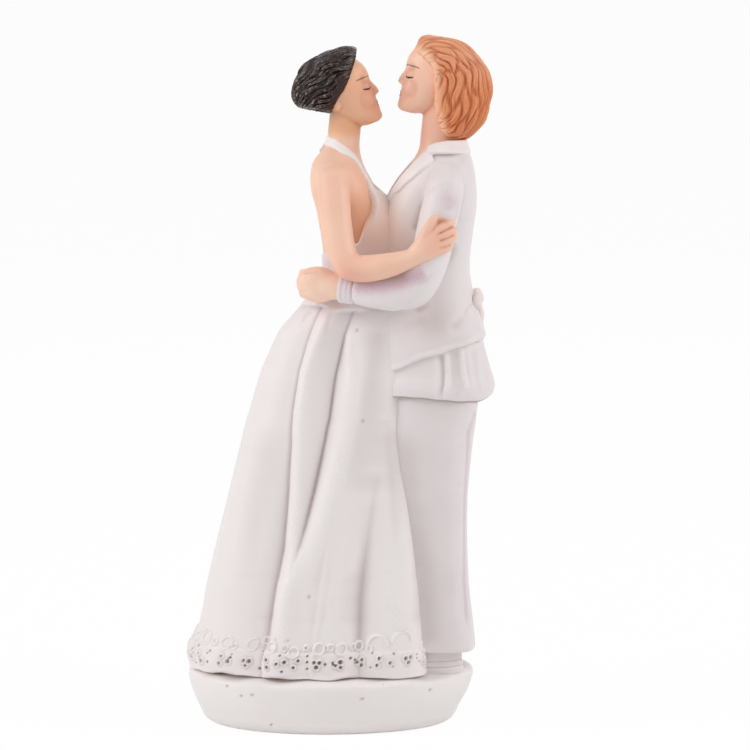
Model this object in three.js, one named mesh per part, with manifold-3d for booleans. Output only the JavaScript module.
// Wedding cake topper: two brides in an embrace, one in a halter gown and one in a suit, on an oval base.
// Millimetres, +Z up. The origin is the middle of the base's underside. X runs along the base from the
// gown's train to the back of the suit, and the near side of the topper is at minus Y.

import * as THREE from "three";
import { mergeVertices } from "three/addons/utils/BufferGeometryUtils.js";
import Module from "manifold-3d";

const wasm = await Module();
wasm.setup();

// Driving dimensions. Heights on the figures are measured from the plane that they stand on. A level
// section spans X between two values, and reaches half its width to each side of its middle. Its outline
// is an oval, or squarer where `ahead` (towards plus X) or `behind` (towards minus X) is over two.

// Glue gap between two pieces, and the thickness of the thin clothing.
const SEAT = 0.3;
const CLOTH = 1.2;

// Height of both brides' waists. Their bodies above it keep their size, and their legs and skirt span it.
const WAIST = 84;

const BASE = { halfLength: 31.3, halfWidth: 20.5, height: 12 };
const FOOT = { inset: 6.5, rise: 8 };
const RIM = { inset: 2.2, rise: 1.8 };
const PEG = { radius: 2.5, x: -5, depth: 7, rise: 18 };
const LEG_PIN = { radius: 1.1, x: 25.5, depth: 7, rise: 22 };

// The bare body of the bride in the gown, who faces plus X.
const TORSO = {
  waist: { z: WAIST, from: -0.7, to: 11.6, half: 6.4, ahead: 3.2 },
  ribs: { z: WAIST + 8, from: -1.6, to: 12, half: 7.2, ahead: 3.2 },
  bust: { z: WAIST + 16, from: -3, to: 12, half: 8.4, ahead: 3 },
  armpit: { z: WAIST + 21.5, from: -4.2, to: 9.8, half: 9.6, ahead: 2.4 },
  shoulder: { z: WAIST + 25.5, from: -4.1, to: 7.7, half: 9.4, ahead: 2 },
  slope: { z: WAIST + 28.3, from: -2.4, to: 6.8, half: 6.8, ahead: 2 },
  neckBase: { z: WAIST + 30.6, from: -0.6, to: 6.6, half: 4.3, ahead: 2 },
  neck: { z: WAIST + 34, from: -0.2, to: 7, half: 3.5, ahead: 2 },
  neckTop: { z: WAIST + 38, from: -0.4, to: 6.4, half: 3.3, ahead: 2 },
};

// The skirt, from the hem up to its last section. Above that it meets the bodice at the waist.
const SKIRT_FRONT = 3.2;
const SKIRT = {
  hem: { z: 0, from: -29.8, to: 19.4, half: 17, ahead: SKIRT_FRONT },
  aboveLace: { z: 9, from: -28, to: 19.2, half: 16.7, ahead: SKIRT_FRONT },
  shin: { z: 0.26 * WAIST, from: -25.8, to: 18.5, half: 15.9, ahead: SKIRT_FRONT },
  knee: { z: 0.45 * WAIST, from: -22, to: 16.7, half: 14.4, ahead: SKIRT_FRONT },
  thigh: { z: 0.64 * WAIST, from: -18.5, to: 15, half: 12.8, ahead: SKIRT_FRONT },
  seat: { z: 0.785 * WAIST, from: -15.2, to: 13.8, half: 11.4, ahead: SKIRT_FRONT },
  hip: { z: 0.88 * WAIST, from: -11.6, to: 13.3, half: 10.2, ahead: SKIRT_FRONT },
  yoke: { z: 0.946 * WAIST, from: -6.6, to: 13.1, half: 8.9, ahead: SKIRT_FRONT },
};

// Each fold of the skirt is a valley that runs from one bearing at the hem to another at the waist. A
// bearing is in degrees from plus X, and is negative on the near side. A fold spreads some degrees to each
// side of its valley. It begins and ends at shares of the way up, and fades in and out over a share.
const SKIRT_FOLDS = [
  { hem: -63, top: -50, depth: 1.9, end: 0.75 },
  { hem: -112, top: -72, depth: 2.4, start: 0.22 },
  { hem: -112, top: -124, depth: 2.4 },
  { hem: 150, top: 162, depth: 1.9 },
  { hem: 116, top: 131, depth: 2.1 },
  { hem: 88, top: 78, depth: 1.8 },
  { hem: 58, top: 43, depth: 1.6 },
];
const FOLD_SPREAD = 8;
const FOLD_FADE = 0.25;

const LACE = { height: 7, scallop: 1.8, scallops: 20, thickness: 1.4, eyelet: 0.8, eyeletHeight: 3.8 };

// The side view of the bodice's upper edge, from the back to the front of the chest.
const NECKLINE = {
  back: WAIST + 7,
  side: WAIST + 9,
  sideX: 4.6,
  edgeX: 9.6,
  edge: WAIST + 17.5,
  top: WAIST + 22.5,
};
const STRAP = { halfWidth: 1.3, halfThick: 0.8, nape: WAIST + 31.2 };
const STRAP_CHEST = { x: 9.2, half: 4.4 };
const STRAP_SIDE = { x: 5, half: 5 };

// A bare arm: the stations of its centre line, with Y as the distance out from the middle of the body.
const ARM = {
  socket: { x: 0.6, out: 8.4, z: WAIST + 24.6, radius: 3.2 },
  deltoid: { x: 1.2, out: 11, z: WAIST + 21.2, radius: 3.6 },
  biceps: { x: 1.7, out: 13.2, z: WAIST + 14.6, radius: 3.35 },
  aboveElbow: { x: 2.7, out: 15, z: WAIST + 8.4, radius: 3.2 },
  elbow: { x: 5.2, out: 16.6, z: WAIST + 4, radius: 3.1 },
  forearm: { x: 11.2, out: 17.8, z: WAIST + 4.8, radius: 2.8 },
  end: { x: 17, out: 18.4, z: WAIST + 6.4, radius: 2.2 },
};

// The suit of the other bride, who faces minus X.
const JACKET = {
  skirtEdge: { z: WAIST - 21, from: 12, to: 35.2, half: 11.8, behind: 3 },
  seat: { z: WAIST - 14, from: 12, to: 34.4, half: 11.3, behind: 3 },
  hip: { z: WAIST - 8, from: 12, to: 33.2, half: 10.6, behind: 3 },
  gather: { z: WAIST - 2, from: 12, to: 31.4, half: 9.7, behind: 3 },
  waist: { z: WAIST + 4, from: 12, to: 30.4, half: 9.2, behind: 3 },
  ribs: { z: WAIST + 11, from: 12, to: 31, half: 9.9, behind: 3 },
  chest: { z: WAIST + 17, from: 12.6, to: 31.8, half: 10.5, behind: 2.8 },
  armpit: { z: WAIST + 22, from: 15, to: 31.6, half: 10.6, behind: 2.3 },
  shoulder: { z: WAIST + 25.6, from: 17.5, to: 31, half: 9.4, behind: 2 },
  slope: { z: WAIST + 28.2, from: 19.2, to: 30.2, half: 7, behind: 2 },
  collarSeat: { z: WAIST + 30, from: 19.8, to: 29, half: 5.4, behind: 2 },
};
const JACKET_HEM = { front: WAIST - 18.4, back: WAIST - 13 };

// The side view of the collar: the point and the notch of the lapel, its inner edge and the collar's fall.
const LAPEL_POINT = { x: 14, z: WAIST + 18.2 };
const LAPEL_NOTCH = { x: 22.9, z: WAIST + 25.6 };
const LAPEL_INNER = { x: 17, z: WAIST + 26.4 };
const COLLAR_FALL = WAIST + 27.6;

const BOW = { z: WAIST - 3.6, reach: 1.9, knotHalf: 1.5, loopLong: 4, loopHigh: 2.6, droop: 0.5 };

const TUNIC = {
  hem: { z: WAIST - 24.3, from: 13, to: 36, half: 12.3, behind: 3 },
  middle: { z: WAIST - 18, from: 13.4, to: 34.2, half: 11, behind: 3 },
  underJacket: { z: WAIST - 11, from: 14.4, to: 32, half: 9.4, behind: 3 },
};
const TUNIC_FOLDS = [
  { top: -18, hem: -24, depth: 0.9 },
  { top: -58, hem: -62, depth: 0.8 },
  { top: -104, hem: -108, depth: 0.7 },
  { top: 18, hem: 22, depth: 0.9 },
  { top: 58, hem: 62, depth: 0.8 },
  { top: 104, hem: 108, depth: 0.7 },
];

// One trouser leg, which ends under the tunic, and the shoe below it.
const LEG = {
  cuff: { z: 4, from: 18.6, to: 31.4, half: 5.5, behind: 2.6 },
  shin: { z: 0.24 * WAIST, from: 17, to: 30.3, half: 5.2, behind: 2.6 },
  knee: { z: 0.43 * WAIST, from: 15.2, to: 29.8, half: 5.2, behind: 2.6 },
  thigh: { z: 0.595 * WAIST, from: 14, to: 31, half: 5.4, behind: 2.6 },
};
const LEG_TOP = { from: 13.6, to: 32.4, half: 5.5, behind: 2.6 };
const SHOE = { from: 12, to: 29.6, half: 4, sole: 1.5, upperInset: 0.8 };

// A sleeve, from the shoulder to the cuff, in the same terms as the bare arm.
const SLEEVE = {
  socket: { x: 25, out: 7.6, z: WAIST + 24.4, radius: 3.4 },
  deltoid: { x: 24.6, out: 10.8, z: WAIST + 21, radius: 4.1 },
  biceps: { x: 23.5, out: 13.2, z: WAIST + 14.5, radius: 4.2 },
  aboveElbow: { x: 22.5, out: 14.5, z: WAIST + 6.5, radius: 4.3 },
  elbow: { x: 19.6, out: 15, z: WAIST - 0.8, radius: 4.2 },
  forearm: { x: 13, out: 14.4, z: WAIST - 2.6, radius: 3.8 },
  end: { x: 5.2, out: 12.5, z: WAIST - 1.8, radius: 3.2 },
};
const CUFF = { length: 2.8, radius: 3.5 };

// A hand, with the fingers listed from the one beside the thumb. The girths of a finger are shares of its
// pitch, and the first is over a half, so that neighbours are cast together as far as their tips.
const PALM = { length: 6.4, wristHalf: 2, wristThick: 1.6, rootThick: 1.55, thick: 1.3 };
const FINGER = { pitch: 1.5, girth: 0.7, tipGirth: 0.34, buried: 1 };
const FINGER_LENGTHS = [5.4, 6, 5.6, 4.5];
const THUMB = { start: 1.6, reach: 3.2, clear: 1.6, radius: 0.95, tipRadius: 0.65 };

// How each hand lies: its rise from the forearm's line, the curl of its fingers at a joint, and their
// sweep in the plane of the hand, both in radians.
const GRIP = { rise: 0.45, curl: 0.5, sweep: 0.35 };
const HOLD = { rise: 0, curl: 0.85, sweep: 0 };

// The neck and bare chest of the bride in the suit.
const CHEST = {
  inJacket: { z: WAIST + 20, from: 17.4, to: 25, half: 3.6 },
  opening: { z: WAIST + 26, from: 17.5, to: 28.4, half: 4.6 },
  neckBase: { z: WAIST + 29.4, from: 19.2, to: 28.8, half: 4.3 },
  neck: { z: WAIST + 33, from: 19.8, to: 28, half: 3.6 },
  neckTop: { z: WAIST + 40, from: 20.8, to: 28, half: 3.4 },
};

// A head upright on its chin, facing plus X, and the height in it that the head's place is given for.
const HEAD = {
  chin: { z: 0, from: 2.3, to: 4.9, half: 1.5 },
  chinFront: { z: 0.6, from: 0, to: 6.2, half: 2.6 },
  jaw: { z: 2, from: -3.2, to: 6.3, half: 3.9 },
  mouth: { z: 3.8, from: -5.2, to: 6.5, half: 4.6 },
  noseBase: { z: 5.6, from: -6.3, to: 6.5, half: 5 },
  eyes: { z: 8.1, from: -7.4, to: 6.2, half: 5.4 },
  brow: { z: 9.9, from: -7.7, to: 6.6, half: 5.6 },
  forehead: { z: 12.2, from: -7.4, to: 6.2, half: 5.4 },
  dome: { z: 14.2, from: -5.9, to: 4.9, half: 4.4 },
  crownEdge: { z: 15.7, from: -3.6, to: 2.6, half: 2.7 },
  crown: { z: 16.2, from: -1.4, to: 0.5, half: 0.9 },
};
const NOSE = { bridge: 8.8, tip: 6.2, length: 1, radius: 0.8 };
const GOWN_HEAD = { x: 3, z: WAIST + 41.8, tilt: 20, middle: 8.5 };
const SUIT_HEAD = { x: 22.5, z: WAIST + 44.9, tilt: 13, middle: 8.5 };

// The outside of each head of hair, in a frame of its own, with the place of that frame and the side view
// of the hairline.
const GOWN_HAIR = { x: 2, z: WAIST + 41.5, tilt: 18, middle: 9.5 };
const SUIT_HAIR = { x: 23.2, z: WAIST + 43.2, tilt: 6, middle: 9.5 };
const SWEPT_HAIR = {
  nape: { z: 5.2, from: -4.6, to: -1.5, half: 3.6 },
  lower: { z: 7, from: -6.9, to: 1, half: 5.8 },
  back: { z: 9.8, from: -9.4, to: 3.4, half: 7 },
  full: { z: 12, from: -10.1, to: 6, half: 7.3 },
  upper: { z: 15, from: -8.6, to: 8, half: 6.9 },
  high: { z: 16.9, from: -6.2, to: 7.6, half: 5.4 },
  top: { z: 18.3, from: -3.6, to: 5.4, half: 3.2 },
  crown: { z: 18.8, from: -1, to: 2.6, half: 1.2 },
};
const SWEPT_HAIRLINE = { brow: [7, 16.4], temple: [2.8, 10.4], ear: [0.6, 7.4], nape: [-4, 4.2] };
const BOB_HAIR = {
  ends: { z: -2, from: -7.4, to: -2, half: 4.6 },
  nape: { z: 2, from: -10.2, to: 1, half: 7 },
  jaw: { z: 6, from: -11.5, to: 2, half: 7.7 },
  ear: { z: 9.4, from: -12, to: 3.2, half: 7.9 },
  full: { z: 14, from: -10.4, to: 7.2, half: 7.6 },
  high: { z: 17, from: -7.8, to: 6.8, half: 6.4 },
  top: { z: 19, from: -4.6, to: 5.6, half: 4 },
  crown: { z: 19.8, from: -0.6, to: 3, half: 1.4 },
};
const BOB_HAIRLINE = { brow: [5.8, 16.8], temple: [1.4, 13.4], ear: [0.6, 7.4], nape: [-2.2, -2.4] };

// Fineness of the faceted forms: sides round a section, and rings from one section to the next.
const BODY_SIDES = 20;
const SKIRT_SIDES = 72;
const LIMB_SIDES = 10;
const FINGER_SIDES = 6;
const ROUND_STEPS = 3;

const FINISHES = {
  resin: { color: 0xeeeae8, roughness: 0.5, metalness: 0 },
  gown: { color: 0xefe8e8, roughness: 0.5, metalness: 0 },
  suit: { color: 0xeceaeb, roughness: 0.5, metalness: 0 },
  skin: { color: 0xf0bfa1, roughness: 0.45, metalness: 0 },
  brunette: { color: 0x2e211d, roughness: 0.35, metalness: 0 },
  ginger: { color: 0xe2905a, roughness: 0.4, metalness: 0 },
  steel: { color: 0x9a9da0, roughness: 0.35, metalness: 1 },
};

// Geometry helpers

const SIDEWAYS = new THREE.Vector3(0, 1, 0);
const UPWARDS = new THREE.Vector3(0, 0, 1);

// The stations in a row, with steps worked out smoothly between each two, field by field.
function smoothed(stations, steps) {
  const names = Object.keys(stations[0]);
  const curves = names.map((name) => {
    return new THREE.SplineCurve(stations.map((station, i) => new THREE.Vector2(i, station[name])));
  });
  const count = (stations.length - 1) * steps;
  return Array.from({ length: count + 1 }, (_, i) => {
    return Object.fromEntries(names.map((name, k) => [name, curves[k].getPoint(i / count).y]));
  });
}

// A closed skin over rings of points, which run anticlockwise seen from the end that the rings go towards.
function skin(rings) {
  const sides = rings[0].length;
  const middleOf = (ring) => ring.reduce((sum, p) => sum.add(p), new THREE.Vector3()).divideScalar(sides);
  const points = [...rings.flat(), middleOf(rings[0]), middleOf(rings.at(-1))];
  const last = (rings.length - 1) * sides;
  const startCap = points.length - 2;
  const endCap = points.length - 1;
  const faces = [];
  for (let j = 0; j < sides; j++) {
    const next = (j + 1) % sides;
    faces.push(startCap, next, j, endCap, last + j, last + next);
    for (let row = 0; row < last; row += sides) {
      faces.push(row + j, row + next, row + sides + next, row + j, row + sides + next, row + sides + j);
    }
  }
  return new THREE.BufferGeometry().setFromPoints(points).setIndex(faces);
}

// How far an outline that is squarer than an oval reaches beyond it.
function fullness(turn, ahead, behind) {
  const toward = THREE.MathUtils.smoothstep(Math.cos(turn), -0.3, 0.7);
  const power = THREE.MathUtils.lerp(behind, ahead, toward);
  return (Math.abs(Math.cos(turn)) ** power + Math.abs(Math.sin(turn)) ** power) ** (-1 / power);
}

// The outline of a level section, with valleys cut into it where there are folds.
function outlinePoint({ z, from, to, half, middle = 0, ahead = 2, behind = 2 }, turn, grow, valley = 0) {
  const reach = new THREE.Vector3(Math.cos(turn) * ((to - from) / 2), Math.sin(turn) * half, 0);
  reach.multiplyScalar(fullness(turn, ahead, behind));
  reach.setLength(reach.length() + grow - valley);
  return reach.add(new THREE.Vector3((from + to) / 2, middle, z));
}

// How deep the folds reach into a section that lies the given share of the way up to the waist.
function valleyDepth(folds, turn, share) {
  const bearing = THREE.MathUtils.radToDeg(turn);
  return folds.reduce((total, { hem, top, depth, start = -FOLD_FADE, end = 1 }) => {
    const fadeIn = THREE.MathUtils.smoothstep(share, start, start + FOLD_FADE);
    const fadeOut = THREE.MathUtils.smoothstep(end - share, 0, FOLD_FADE);
    const centre = THREE.MathUtils.lerp(hem, top, share);
    const off = THREE.MathUtils.euclideanModulo(bearing - centre + 180, 360) - 180;
    return total + fadeIn * fadeOut * depth * Math.exp(-((off / FOLD_SPREAD) ** 2));
  }, 0);
}

// A column of level sections, grown all round by the given amount.
function column(sections, { grow = 0, sides = BODY_SIDES, folds = [] } = {}) {
  const bottom = sections[0].z;
  const height = sections.at(-1).z - bottom;
  const rings = sections.map((section, i) => {
    const stretch = i === 0 ? -grow : i === sections.length - 1 ? grow : 0;
    return Array.from({ length: sides }, (_, j) => {
      const turn = (2 * Math.PI * j) / sides;
      const valley = valleyDepth(folds, turn, (section.z - bottom) / height);
      const point = outlinePoint(section, turn, grow, valley);
      point.z += stretch;
      return point;
    });
  });
  return solidOf(skin(rings));
}

// A limb along a smooth path through its stations. Its sections are `wide` along `across` and `thick`
// the other way.
function limb(stations, { grow = 0, sides = LIMB_SIDES, steps = 2, across = SIDEWAYS } = {}) {
  const path = smoothed(stations, steps);
  const places = path.map(({ x, y, z }) => new THREE.Vector3(x, y, z));
  const rings = path.map(({ wide, thick }, i) => {
    const before = places[Math.max(i - 1, 0)];
    const after = places[Math.min(i + 1, places.length - 1)];
    const along = after.clone().sub(before).normalize();
    const side = across.clone().addScaledVector(along, -across.dot(along)).normalize();
    const other = along.clone().cross(side);
    const stretch = i === 0 ? -grow : i === places.length - 1 ? grow : 0;
    return Array.from({ length: sides }, (_, j) => {
      const turn = (2 * Math.PI * j) / sides;
      return places[i].clone()
        .addScaledVector(side, Math.cos(turn) * (wide + grow))
        .addScaledVector(other, Math.sin(turn) * (thick + grow))
        .addScaledVector(along, stretch);
    });
  });
  return solidOf(skin(rings));
}

// A slab that stands across the whole topper, cut to an outline in the side view.
function sideSlab(shape) {
  const width = 4 * BASE.halfWidth;
  const slab = new THREE.ExtrudeGeometry(shape, { depth: width, bevelEnabled: false, curveSegments: 8 });
  return solidOf(slab.rotateX(Math.PI / 2).translate(0, width / 2, 0));
}

function cylinderSolid({ radius, x, y = 0, from, to }, grow = 0) {
  const height = to - from + 2 * grow;
  const cylinder = new THREE.CylinderGeometry(radius + grow, radius + grow, height, LIMB_SIDES);
  return solidOf(cylinder.rotateX(Math.PI / 2).translate(x, y, (from + to) / 2));
}

function ellipsoidSolid(middle, halves) {
  const ball = new THREE.SphereGeometry(1, LIMB_SIDES, 6);
  return solidOf(ball.scale(halves.x, halves.y, halves.z).translate(middle.x, middle.y, middle.z));
}

function solidOf(geometry) {
  const bare = geometry.clone();
  bare.deleteAttribute("normal");
  bare.deleteAttribute("uv");
  const merged = mergeVertices(bare, 1e-4);
  const vertProperties = merged.attributes.position.array;
  const triVerts = new Uint32Array(merged.index.array);
  return new wasm.Manifold(new wasm.Mesh({ numProp: 3, vertProperties, triVerts }));
}

// The largest body that a cut left behind.
function mainBody(solid) {
  return solid.decompose().reduce((best, body) => (body.volume() > best.volume() ? body : best));
}

function without(solid, ...cutters) {
  return mainBody(cutters.reduce((rest, cutter) => rest.subtract(cutter), solid));
}

// The smallest edge that a finished piece keeps.
const FINEST = 0.06;

function piece(name, solid, finish) {
  const { vertProperties, triVerts } = solid.simplify(FINEST).getMesh();
  const geometry = new THREE.BufferGeometry();
  geometry.setAttribute("position", new THREE.BufferAttribute(vertProperties, 3));
  geometry.setIndex(new THREE.BufferAttribute(triVerts, 1));
  geometry.computeVertexNormals();
  const mesh = new THREE.Mesh(geometry, new THREE.MeshStandardMaterial(FINISHES[finish]));
  mesh.name = name;
  return mesh;
}

// Base

const STAND = BASE.height + SEAT;

function baseSection(z, inset) {
  const halfLength = BASE.halfLength - inset;
  return { z, from: -halfLength, to: halfLength, half: BASE.halfWidth - inset };
}

function basePlinth() {
  const quarter = Array.from({ length: ROUND_STEPS + 1 }, (_, i) => ((i / ROUND_STEPS) * Math.PI) / 2);
  const foot = quarter.map((turn) => {
    return baseSection(FOOT.rise * (1 - Math.cos(turn)), FOOT.inset * (1 - Math.sin(turn)));
  });
  const rimStart = BASE.height - RIM.rise;
  const rim = quarter.map((turn) => {
    return baseSection(rimStart + RIM.rise * Math.sin(turn), RIM.inset * (1 - Math.cos(turn)));
  });
  return column([...foot, ...rim], { sides: 2 * BODY_SIDES });
}

// Pins that key the figures to the base, in the figures' frame.
function pin({ radius, x, depth, rise }, y, grow = 0) {
  return cylinderSolid({ radius, x, y, from: -SEAT - depth, to: rise }, grow);
}

const legMiddle = LEG_TOP.half + SEAT / 2;
const gownPeg = (grow) => pin(PEG, 0, grow);
const legPin = (side, grow) => pin(LEG_PIN, side * legMiddle, grow);

// Gown and the bare body in it

function torsoForm(grow = 0) {
  const [waist, ...rest] = Object.values(TORSO);
  return column(smoothed([{ ...waist, z: waist.z + SEAT }, ...rest], 2), { grow });
}

function skirtSections() {
  const { from, to, half } = TORSO.waist;
  const wall = SEAT + CLOTH;
  const top = { ...TORSO.waist, from: from - wall, to: to + wall, half: half + wall };
  return [...Object.values(SKIRT), top];
}

function skirtForm(grow = 0) {
  return column(smoothed(skirtSections(), 1), { grow, sides: SKIRT_SIDES, folds: SKIRT_FOLDS });
}

// A point on the skirt near its hem, a given distance out from the cloth.
function hemPoint(turn, z, grow) {
  const share = z / SKIRT.aboveLace.z;
  const lerp = (field) => THREE.MathUtils.lerp(SKIRT.hem[field], SKIRT.aboveLace[field], share);
  const valley = valleyDepth(SKIRT_FOLDS, turn, z / TORSO.waist.z);
  const section = { ...SKIRT.hem, z, from: lerp("from"), to: lerp("to"), half: lerp("half") };
  return outlinePoint(section, turn, grow, valley);
}

// The lace is a band round the hem with a scalloped top edge, and an eyelet in each scallop.
function laceHem() {
  const perScallop = 4;
  const count = LACE.scallops * perScallop;
  const inner = SEAT;
  const outer = SEAT + LACE.thickness;
  const points = [];
  const faces = [];
  for (let i = 0; i < count; i++) {
    const turn = (2 * Math.PI * i) / count;
    const top = LACE.height + LACE.scallop * Math.abs(Math.sin((Math.PI * i) / perScallop));
    points.push(hemPoint(turn, 0, inner), hemPoint(turn, 0, outer));
    points.push(hemPoint(turn, top, outer), hemPoint(turn, top, inner));
    for (let k = 0; k < 4; k++) {
      const a = 4 * i + k;
      const b = 4 * i + ((k + 1) % 4);
      const step = 4 * ((i + 1) % count);
      faces.push(a, step + k, step + ((k + 1) % 4), a, step + ((k + 1) % 4), b);
    }
  }
  const band = solidOf(new THREE.BufferGeometry().setFromPoints(points).setIndex(faces));
  const pitch = (2 * Math.PI) / LACE.scallops;
  const eyelets = Array.from({ length: LACE.scallops }, (_, i) => eyelet((i + 0.5) * pitch));
  return without(band, ...eyelets);
}

// A round hole through the lace, bored square to the hem.
function eyelet(turn) {
  const place = hemPoint(turn, LACE.eyeletHeight, SEAT + LACE.thickness / 2);
  const nudge = Math.PI / SKIRT_SIDES;
  const ahead = hemPoint(turn + nudge, LACE.eyeletHeight, 0);
  const along = ahead.sub(hemPoint(turn - nudge, LACE.eyeletHeight, 0)).normalize();
  const out = new THREE.Vector3(along.y, -along.x, 0);
  const hole = new THREE.CylinderGeometry(LACE.eyelet, LACE.eyelet, 4 * LACE.thickness, FINGER_SIDES);
  hole.applyQuaternion(new THREE.Quaternion().setFromUnitVectors(new THREE.Vector3(0, 1, 0), out));
  return solidOf(hole.translate(place.x, place.y, place.z));
}

// The space that the lace takes up round the hem.
function laceForm(grow) {
  return column([SKIRT.hem, SKIRT.aboveLace], { grow: SEAT + LACE.thickness + grow, sides: SKIRT_SIDES });
}

function bodiceZone() {
  const { waist } = TORSO;
  const behind = waist.from - 4 * CLOTH;
  const ahead = TORSO.bust.to + 4 * CLOTH;
  const shape = new THREE.Shape();
  shape.moveTo(behind, waist.z + SEAT);
  shape.lineTo(ahead, waist.z + SEAT);
  shape.lineTo(ahead, NECKLINE.top);
  shape.lineTo(NECKLINE.edgeX, NECKLINE.top);
  shape.quadraticCurveTo(NECKLINE.edgeX + CLOTH, NECKLINE.edge, NECKLINE.sideX, NECKLINE.side);
  shape.lineTo(behind, NECKLINE.back);
  return sideSlab(shape);
}

function bodiceForm(grow = 0) {
  return torsoForm(SEAT + CLOTH + grow).intersect(bodiceZone());
}

// The strap leaves the chest on one side, passes round the nape and comes back down on the other.
function strapForm() {
  const wide = STRAP.halfWidth;
  const thick = STRAP.halfThick;
  const half = [
    { x: STRAP_CHEST.x, y: STRAP_CHEST.half, z: NECKLINE.top + SEAT },
    { x: (STRAP_CHEST.x + STRAP_SIDE.x) / 2, y: STRAP_SIDE.half, z: TORSO.shoulder.z },
    { x: STRAP_SIDE.x, y: STRAP_SIDE.half, z: TORSO.slope.z },
    { x: STRAP_SIDE.x / 3, y: STRAP_CHEST.half, z: TORSO.neckBase.z },
  ];
  const nape = { x: TORSO.neckBase.from, y: 0, z: STRAP.nape };
  const near = half.map((station) => ({ ...station, y: -station.y }));
  const stations = [...near, nape, ...half.reverse()].map((station) => ({ ...station, wide, thick }));
  return limb(stations, { sides: 6, across: UPWARDS });
}

// Arms, sleeves and hands, made alike for the near side (-1) and the far side (1)

// A round station of a limb.
function round(x, y, z, radius) {
  return { x, y, z, wide: radius, thick: radius };
}

function stationsOf(part, side) {
  return Object.values(part).map(({ x, out, z, radius }) => round(x, side * out, z, radius));
}

function pointOf(station, side) {
  return new THREE.Vector3(station.x, side * station.out, station.z);
}

const armForm = (side, grow = 0) => limb(stationsOf(ARM, side), { grow });
const sleeveForm = (side, grow = 0) => limb(stationsOf(SLEEVE, side), { grow });

// The two lengths of a bent limb, parted square across its elbow.
function partedAtElbow(solid, { aboveElbow, elbow, ...rest }, side) {
  const lower = pointOf(rest.forearm, side).sub(pointOf(elbow, side)).normalize();
  const upper = pointOf(elbow, side).sub(pointOf(aboveElbow, side)).normalize();
  const along = lower.add(upper).normalize();
  const height = along.dot(pointOf(elbow, side));
  const back = along.clone().negate();
  return {
    upper: mainBody(solid.trimByPlane(back.toArray(), SEAT / 2 - height)),
    lower: mainBody(solid.trimByPlane(along.toArray(), SEAT / 2 + height)),
  };
}

function cuffForm(side, grow = 0) {
  const end = pointOf(SLEEVE.end, side);
  const along = end.clone().sub(pointOf(SLEEVE.forearm, side)).normalize();
  const ringAt = (distance) => {
    const { x, y, z } = end.clone().addScaledVector(along, distance);
    return { x, y, z, wide: CUFF.radius, thick: CUFF.radius };
  };
  return limb([ringAt(SEAT), ringAt(SEAT + CUFF.length)], { grow, steps: 1 });
}

const palmHalf = (FINGER_LENGTHS.length * FINGER.pitch) / 2;

// A hand lies from its wrist along `reach`, with its back towards `back` and its thumb uppermost. Each
// finger bends twice towards the palm.
function hand({ wrist, reach, back, curl, sweep }) {
  const along = reach.clone().normalize();
  const out = back.clone().addScaledVector(along, -back.dot(along)).normalize();
  const across = out.clone().cross(along);
  const thumbSide = Math.sign(across.z);
  const palm = limb([
    { x: 0, y: 0, z: 0, wide: PALM.wristHalf, thick: PALM.wristThick },
    { x: PALM.length / 2, y: 0, z: 0, wide: palmHalf, thick: PALM.rootThick },
    { x: PALM.length, y: 0, z: 0, wide: palmHalf, thick: PALM.thick },
  ]);
  const middleFinger = (FINGER_LENGTHS.length - 1) / 2;
  const fingers = FINGER_LENGTHS.map((length, i) => {
    const offset = thumbSide * (middleFinger - i) * FINGER.pitch;
    return finger({ length, offset, curl, sweep: thumbSide * sweep });
  });
  const place = new THREE.Matrix4().makeBasis(along, across, out).setPosition(wrist);
  const digits = [...fingers, thumb(thumbSide)];
  return digits.reduce((whole, digit) => whole.add(digit), palm).transform(place.elements);
}

// A finger in the frame of its hand, from a knuckle buried in the palm.
function finger({ length, offset, curl, sweep }) {
  const radius = FINGER.girth * FINGER.pitch;
  const tipRadius = FINGER.tipGirth * FINGER.pitch;
  const next = (from, reach, bend, girth) => {
    const level = reach * Math.cos(bend);
    const x = from.x + level * Math.cos(sweep);
    const y = from.y - level * Math.sin(sweep);
    return round(x, y, from.z - reach * Math.sin(bend), girth);
  };
  const knuckle = round(PALM.length - FINGER.buried, offset, 0, radius);
  const joint = next(knuckle, length / 2, curl / 2, radius);
  const pad = next(joint, length / 2 - tipRadius, 1.5 * curl, radius);
  const tip = next(pad, tipRadius, 1.5 * curl, tipRadius);
  return limb([knuckle, joint, pad, tip], { sides: FINGER_SIDES, steps: 1 });
}

function thumb(side) {
  const { start, reach, clear, radius, tipRadius } = THUMB;
  const root = PALM.wristHalf - radius;
  const tip = palmHalf + clear;
  const stations = [
    round(start, side * root, 0, radius),
    round(start + reach / 2, side * (root + tip) / 2, -PALM.thick / 2, radius),
    round(start + reach, side * tip, -PALM.thick, tipRadius),
  ];
  return limb(stations, { sides: FINGER_SIDES, steps: 1 });
}

// The hand at the end of a limb, past a gap or a cuff of the given length.
function handAt({ forearm, end }, side, gap, { rise, curl, sweep }) {
  const wrist = pointOf(end, side);
  const along = wrist.clone().sub(pointOf(forearm, side)).normalize();
  wrist.addScaledVector(along, gap);
  const reach = along.clone().addScaledVector(UPWARDS, rise);
  return hand({ wrist, reach, back: SIDEWAYS.clone().multiplyScalar(side), curl, sweep });
}

// The bare hand grips the other bride's sleeve, and the sleeve's hand holds the small of her back.
const armHand = (side) => handAt(ARM, side, SEAT, GRIP);
const sleeveHand = (side) => handAt(SLEEVE, side, 2 * SEAT + CUFF.length, HOLD);

// Suit

function jacketForm(grow = 0) {
  return column(smoothed(Object.values(JACKET), 2), { grow });
}

function tunicForm(grow = 0, folds = []) {
  return column(smoothed(Object.values(TUNIC), 2), { grow, sides: 2 * BODY_SIDES, folds });
}

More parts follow.
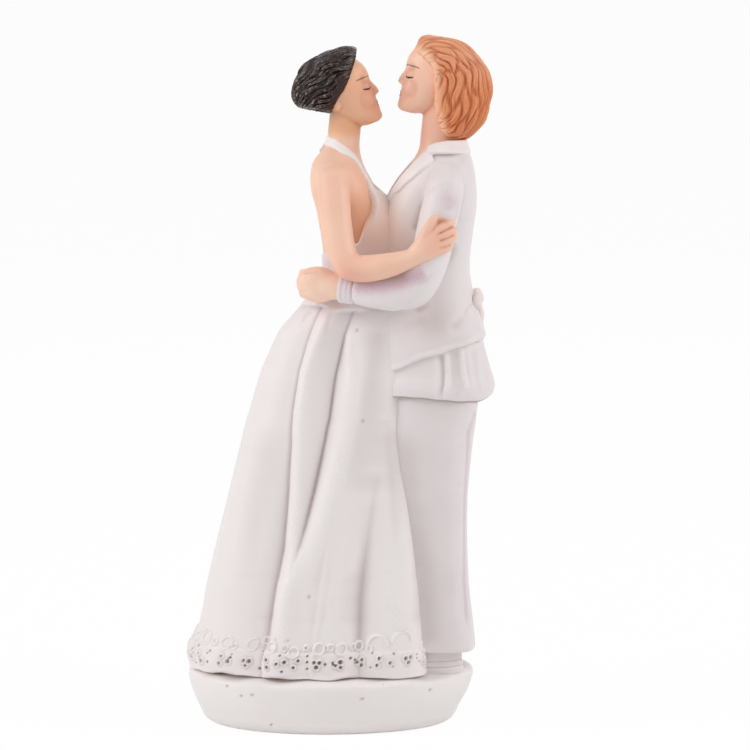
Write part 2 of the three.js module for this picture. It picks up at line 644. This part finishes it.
// Everything under the jacket's hem, which climbs from the front to the back.
function belowJacket() {
  const ahead = JACKET.skirtEdge.from - 4 * CLOTH;
  const behind = JACKET.skirtEdge.to + 4 * CLOTH;
  const deep = JACKET.skirtEdge.z - 4 * CLOTH;
  const shape = new THREE.Shape();
  shape.moveTo(ahead, deep);
  shape.lineTo(behind, deep);
  shape.lineTo(behind, JACKET_HEM.back);
  shape.lineTo(ahead, JACKET_HEM.front);
  return sideSlab(shape);
}

// The side view of the collar and the lapel, from the point of the lapel up to the back of the neck.
function collarZone() {
  const above = JACKET.collarSeat.z + 2 * CLOTH;
  const ahead = LAPEL_POINT.x - 2 * CLOTH;
  const behind = JACKET.chest.to + 4 * CLOTH;
  const shape = new THREE.Shape();
  shape.moveTo(ahead, LAPEL_POINT.z - CLOTH);
  shape.quadraticCurveTo(LAPEL_POINT.x + CLOTH, LAPEL_POINT.z, LAPEL_NOTCH.x, LAPEL_NOTCH.z);
  shape.lineTo(LAPEL_NOTCH.x + CLOTH, COLLAR_FALL);
  shape.lineTo(behind, COLLAR_FALL);
  shape.lineTo(behind, above);
  shape.lineTo(JACKET.collarSeat.from + CLOTH, above);
  shape.lineTo(LAPEL_INNER.x, LAPEL_INNER.z);
  shape.lineTo(ahead, LAPEL_INNER.z - CLOTH);
  return sideSlab(shape);
}

function collarForm() {
  return jacketForm(SEAT + CLOTH).intersect(collarZone());
}

function backBow() {
  const { z, reach, knotHalf, loopLong, loopHigh, droop } = BOW;
  const share = THREE.MathUtils.inverseLerp(JACKET.hip.z, JACKET.gather.z, z);
  const back = THREE.MathUtils.lerp(JACKET.hip.to, JACKET.gather.to, share);
  const knot = ellipsoidSolid(new THREE.Vector3(back, 0, z), new THREE.Vector3(reach, knotHalf, knotHalf));
  return [-1, 1].reduce((bow, side) => {
    const middle = new THREE.Vector3(back, side * (loopLong + knotHalf / 3), z - droop);
    return bow.add(ellipsoidSolid(middle, new THREE.Vector3(reach, loopLong, loopHigh)));
  }, knot);
}

function chestForm(grow = 0) {
  return column(smoothed(Object.values(CHEST), 2), { grow });
}

function legSections() {
  const top = { z: TUNIC.hem.z - SEAT, ...LEG_TOP };
  return [...Object.values(LEG), top];
}

function legForm(side, grow = 0) {
  const sections = legSections().map((section) => ({ ...section, middle: side * legMiddle }));
  return column(smoothed(sections, 1), { grow });
}

function shoeForm(side) {
  const { from, to, half, sole, upperInset } = SHOE;
  const top = LEG.cuff.z - SEAT;
  const middle = side * legMiddle;
  const upper = { from: from + upperInset, to: to - upperInset, half: half - upperInset, middle };
  const sections = [
    { z: 0, from, to, half, middle },
    { z: sole, from, to, half, middle },
    { z: sole + SEAT, ...upper },
    { z: top, ...upper },
  ];
  return column(sections);
}

// Heads and hair

function headForm(grow = 0) {
  const skull = column(smoothed(Object.values(HEAD), 1), { grow });
  const { bridge, tip, length, radius } = NOSE;
  const root = { x: HEAD.eyes.to - radius / 2, y: 0, z: bridge, wide: radius / 2, thick: radius / 2 };
  const end = { x: HEAD.noseBase.to + length - radius, y: 0, z: tip, wide: radius, thick: radius };
  return skull.add(limb([root, end], { grow, steps: 1, sides: 8 }));
}

// Everything in front of a hairline, in the side view.
function faceZone({ brow, temple, ear, nape }) {
  const ahead = HEAD.brow.to * 3;
  const below = nape[1] - HEAD.crown.z / 2;
  const shape = new THREE.Shape();
  shape.moveTo(ahead, below);
  shape.lineTo(ahead, brow[1]);
  shape.lineTo(...brow);
  shape.splineThru([temple, ear, nape].map(([x, z]) => new THREE.Vector2(x, z)));
  shape.lineTo(nape[0], below);
  return sideSlab(shape);
}

function hairForm(sections, hairline) {
  return column(smoothed(Object.values(sections), 1)).subtract(faceZone(hairline));
}

// A head or its hair in its place: turned to its facing, tipped back, and set on its middle.
function placed(solid, { x, z, tilt, middle }, facing) {
  const turned = new THREE.Matrix4().makeRotationZ(facing > 0 ? 0 : Math.PI);
  const tipped = new THREE.Matrix4().makeRotationY(-THREE.MathUtils.degToRad(tilt));
  const lowered = new THREE.Matrix4().makeTranslation(0, 0, -middle);
  const place = new THREE.Matrix4().makeTranslation(x, 0, z).multiply(turned).multiply(tipped);
  return solid.transform(place.multiply(lowered).elements);
}

// A head and its hair, with what the neck and shoulders cut out of them.
function headPieces(name, facing, { finish, head, hair, sections, hairline, neck, body }) {
  const skull = without(placed(headForm(), head, facing), neck);
  const skullSeat = placed(headForm(SEAT), head, facing);
  const locks = without(placed(hairForm(sections, hairline), hair, facing), skullSeat, neck, body);
  return [piece(`${name}_head`, skull, "skin"), piece(`${name}_hair`, locks, finish)];
}

// Assembly

function gownBride() {
  const group = new THREE.Group();
  const neckSeat = torsoForm(SEAT);
  const bodice = bodiceForm().subtract(torsoForm(SEAT));
  const strap = without(strapForm(), torsoForm(SEAT), bodiceForm(SEAT));
  group.add(
    piece("gown_peg", gownPeg(0), "steel"),
    piece("gown_skirt", without(skirtForm(), gownPeg(SEAT)), "gown"),
    piece("gown_lace_hem", laceHem(), "gown"),
    piece("gown_bodice", mainBody(bodice), "gown"),
    piece("gown_halter_strap", strap, "gown"),
    piece("brunette_torso", torsoForm(), "skin"),
    ...headPieces("brunette", 1, {
      finish: "brunette",
      head: GOWN_HEAD,
      hair: GOWN_HAIR,
      sections: SWEPT_HAIR,
      hairline: SWEPT_HAIRLINE,
      neck: neckSeat,
      body: strapForm(),
    }),
  );
  for (const [side, name] of [[-1, "right"], [1, "left"]]) {
    const bodySeats = [torsoForm(SEAT), bodiceForm(SEAT), jacketForm(SEAT), sleeveForm(side, SEAT)];
    const arm = partedAtElbow(without(armForm(side), ...bodySeats), ARM, side);
    group.add(
      piece(`brunette_${name}_upper_arm`, arm.upper, "skin"),
      piece(`brunette_${name}_forearm`, arm.lower, "skin"),
      piece(`brunette_${name}_hand`, without(armHand(side), ...bodySeats, armForm(side, SEAT)), "skin"),
    );
  }
  return group;
}

function suitBride() {
  const group = new THREE.Group();
  const gownSeats = [skirtForm(SEAT), bodiceForm(SEAT), laceForm(SEAT)];
  const jacket = without(jacketForm(), belowJacket(), tunicForm(SEAT), chestForm(SEAT), ...gownSeats);
  group.add(
    piece("suit_tunic", without(tunicForm(0, TUNIC_FOLDS), ...gownSeats), "suit"),
    piece("suit_jacket", jacket, "suit"),
    piece("suit_collar", without(collarForm(), jacketForm(SEAT), chestForm(SEAT), bodiceForm(SEAT)), "suit"),
    piece("suit_back_bow", without(backBow(), jacketForm(SEAT)), "suit"),
    piece("ginger_neck", without(chestForm(), bodiceForm(SEAT)), "skin"),
    ...headPieces("ginger", -1, {
      finish: "ginger",
      head: SUIT_HEAD,
      hair: SUIT_HAIR,
      sections: BOB_HAIR,
      hairline: BOB_HAIRLINE,
      neck: chestForm(SEAT),
      body: jacketForm(2 * SEAT + CLOTH),
    }),
  );
  for (const [side, name] of [[-1, "left"], [1, "right"]]) {
    const bodySeats = [jacketForm(SEAT), collarForm(), ...gownSeats, torsoForm(SEAT)];
    const sleeve = partedAtElbow(without(sleeveForm(side), ...bodySeats), SLEEVE, side);
    const cuff = without(cuffForm(side), ...bodySeats, armForm(side, SEAT));
    const armSeats = [...bodySeats, cuffForm(side, SEAT), armForm(side, SEAT)];
    group.add(
      piece(`suit_${name}_upper_sleeve`, sleeve.upper, "suit"),
      piece(`suit_${name}_lower_sleeve`, sleeve.lower, "suit"),
      piece(`suit_${name}_cuff`, cuff, "suit"),
      piece(`ginger_${name}_hand`, without(sleeveHand(side), ...armSeats), "skin"),
      piece(`suit_${name}_trouser_leg`, without(legForm(side), legPin(side, SEAT), ...gownSeats), "suit"),
      piece(`suit_${name}_shoe`, without(shoeForm(side), legPin(side, SEAT), ...gownSeats), "suit"),
      piece(`suit_${name}_leg_pin`, legPin(side, 0), "steel"),
    );
  }
  return group;
}

function topper() {
  const pins = [gownPeg(SEAT), legPin(-1, SEAT), legPin(1, SEAT)];
  const sockets = pins.map((hole) => hole.translate([0, 0, STAND]));
  const figures = new THREE.Group();
  figures.position.z = STAND;
  figures.add(gownBride(), suitBride());
  const whole = new THREE.Group();
  whole.add(piece("base_plinth", without(basePlinth(), ...sockets), "resin"), figures);
  return whole;
}

export default topper();
